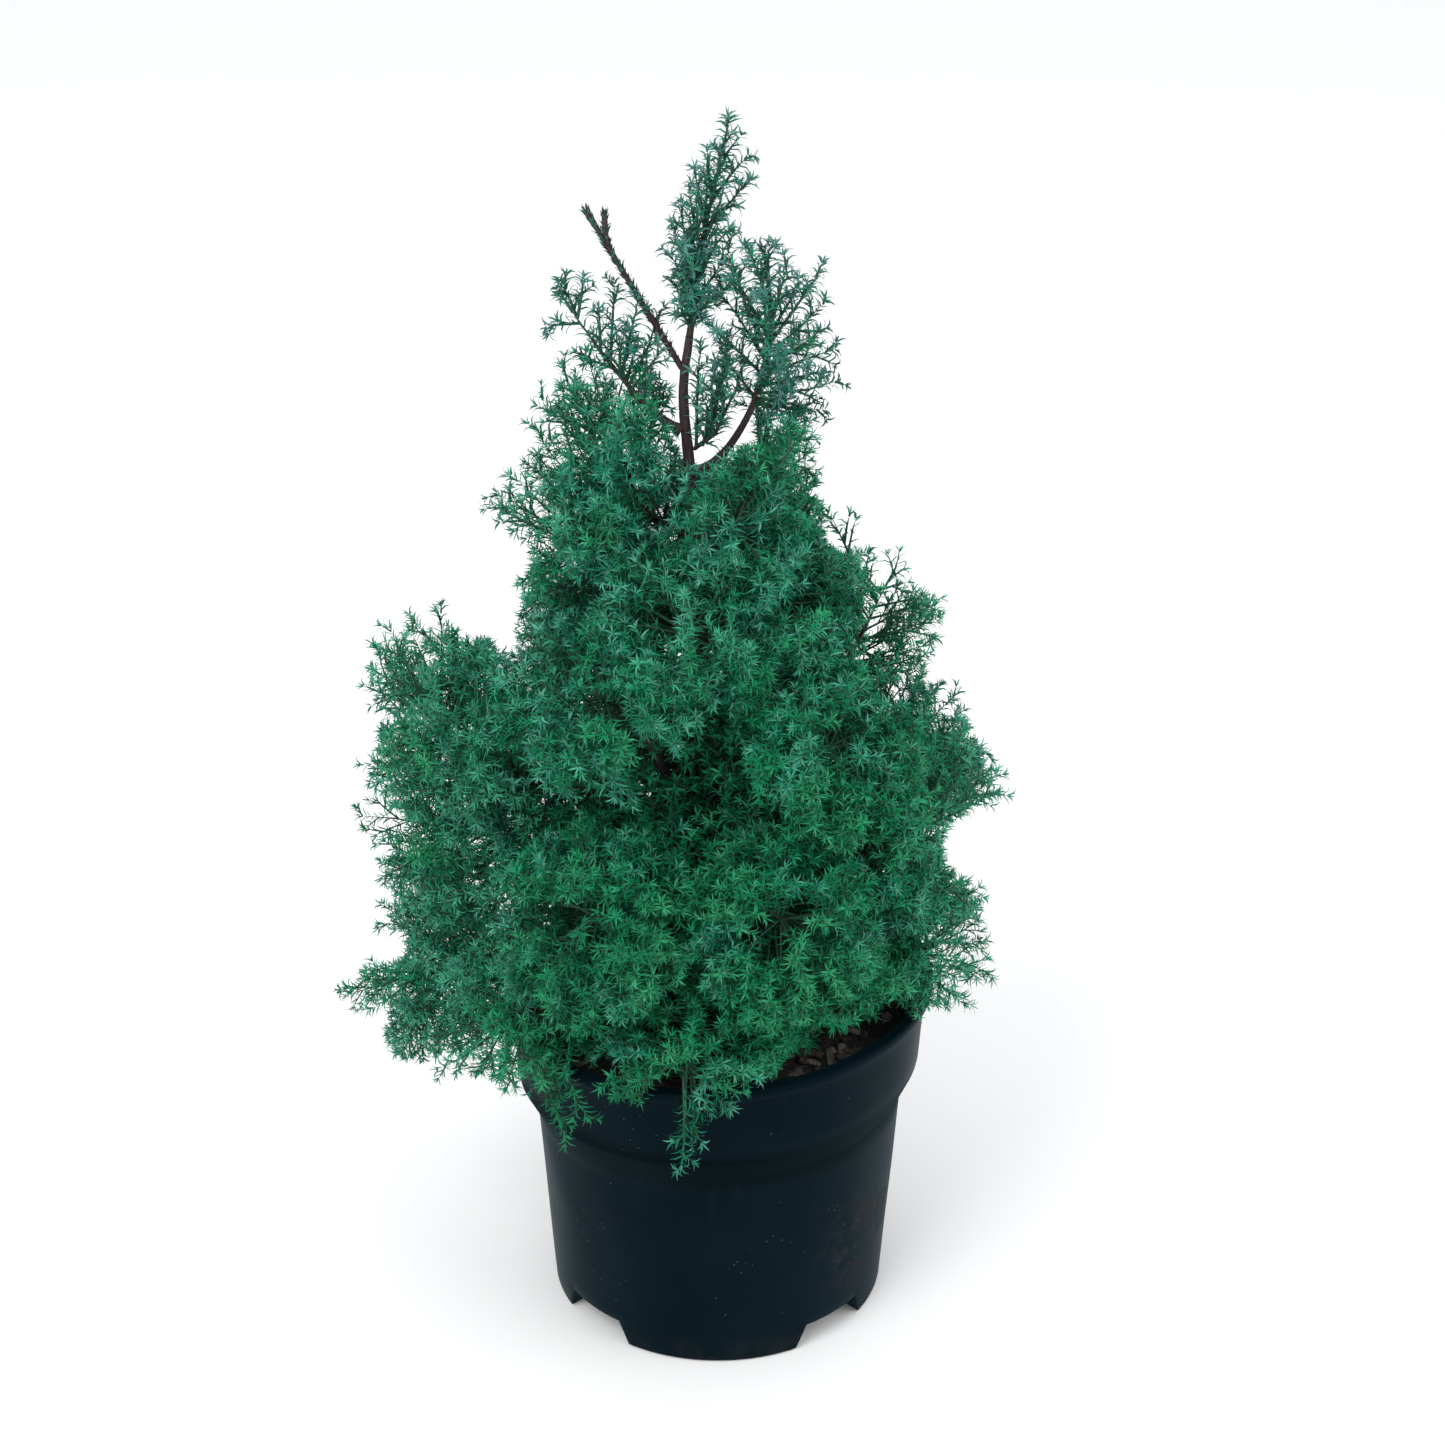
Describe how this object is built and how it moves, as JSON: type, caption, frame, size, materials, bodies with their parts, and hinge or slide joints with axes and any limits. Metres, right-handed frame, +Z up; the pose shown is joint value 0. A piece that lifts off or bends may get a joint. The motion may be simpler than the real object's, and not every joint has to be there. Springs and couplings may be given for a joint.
{
  "type": "potted hinoki cypress",
  "caption": "Young cone-shaped conifer with dense blue-green needled foliage, standing in a round tapered black nursery pot with a raised collar and notched foot.",
  "frame": {"origin": "middle of the pot's flat underside, where it stands on the ground", "axes": "+Z up along the pot's axis, the long way of the whole plant; +X the plant's right hand seen from the front; the front looks along -Y"},
  "size_m": [0.3985, 0.319, 0.7374],
  "materials": {
    "pot": "satin",
    "soil": "matte",
    "bark": "matte",
    "foliage": "matte"
  },
  "bodies": {
    "root": {"pot": "pot", "soil": "soil", "trunk": "bark", "skirt_bough_1": "bark", "skirt_bough_2": "bark", "skirt_bough_3": "bark", "skirt_bough_4": "bark", "skirt_bough_5": "bark", "skirt_bough_6": "bark", "skirt_bough_7": "bark", "skirt_bough_8": "bark", "low_bough_1": "bark", "low_bough_2": "bark", "low_bough_3": "bark", "low_bough_4": "bark", "low_bough_5": "bark", "low_bough_6": "bark", "low_bough_7": "bark", "middle_bough_1": "bark", "middle_bough_2": "bark", "middle_bough_3": "bark", "middle_bough_4": "bark", "middle_bough_5": "bark", "middle_bough_6": "bark", "right_bough": "bark", "left_bough": "bark", "bare_shoot": "bark", "skirt_foliage_1": "foliage", "skirt_foliage_2": "foliage", "skirt_foliage_3": "foliage", "skirt_foliage_4": "foliage", "skirt_foliage_5": "foliage", "skirt_foliage_6": "foliage", "skirt_foliage_7": "foliage", "skirt_foliage_8": "foliage", "low_foliage_1": "foliage", "low_foliage_2": "foliage", "low_foliage_3": "foliage", "low_foliage_4": "foliage", "low_foliage_5": "foliage", "low_foliage_6": "foliage", "low_foliage_7": "foliage", "middle_foliage_1": "foliage", "middle_foliage_2": "foliage", "middle_foliage_3": "foliage", "middle_foliage_4": "foliage", "middle_foliage_5": "foliage", "middle_foliage_6": "foliage", "shoulder_foliage_1": "foliage", "shoulder_foliage_2": "foliage", "shoulder_foliage_3": "foliage", "shoulder_foliage_4": "foliage", "shoulder_foliage_5": "foliage", "top_foliage_1": "foliage", "top_foliage_2": "foliage", "top_foliage_3": "foliage", "leader_foliage": "foliage", "right_foliage": "foliage", "left_foliage": "foliage", "centre_foliage": "foliage"}
  },
  "joints": []
}
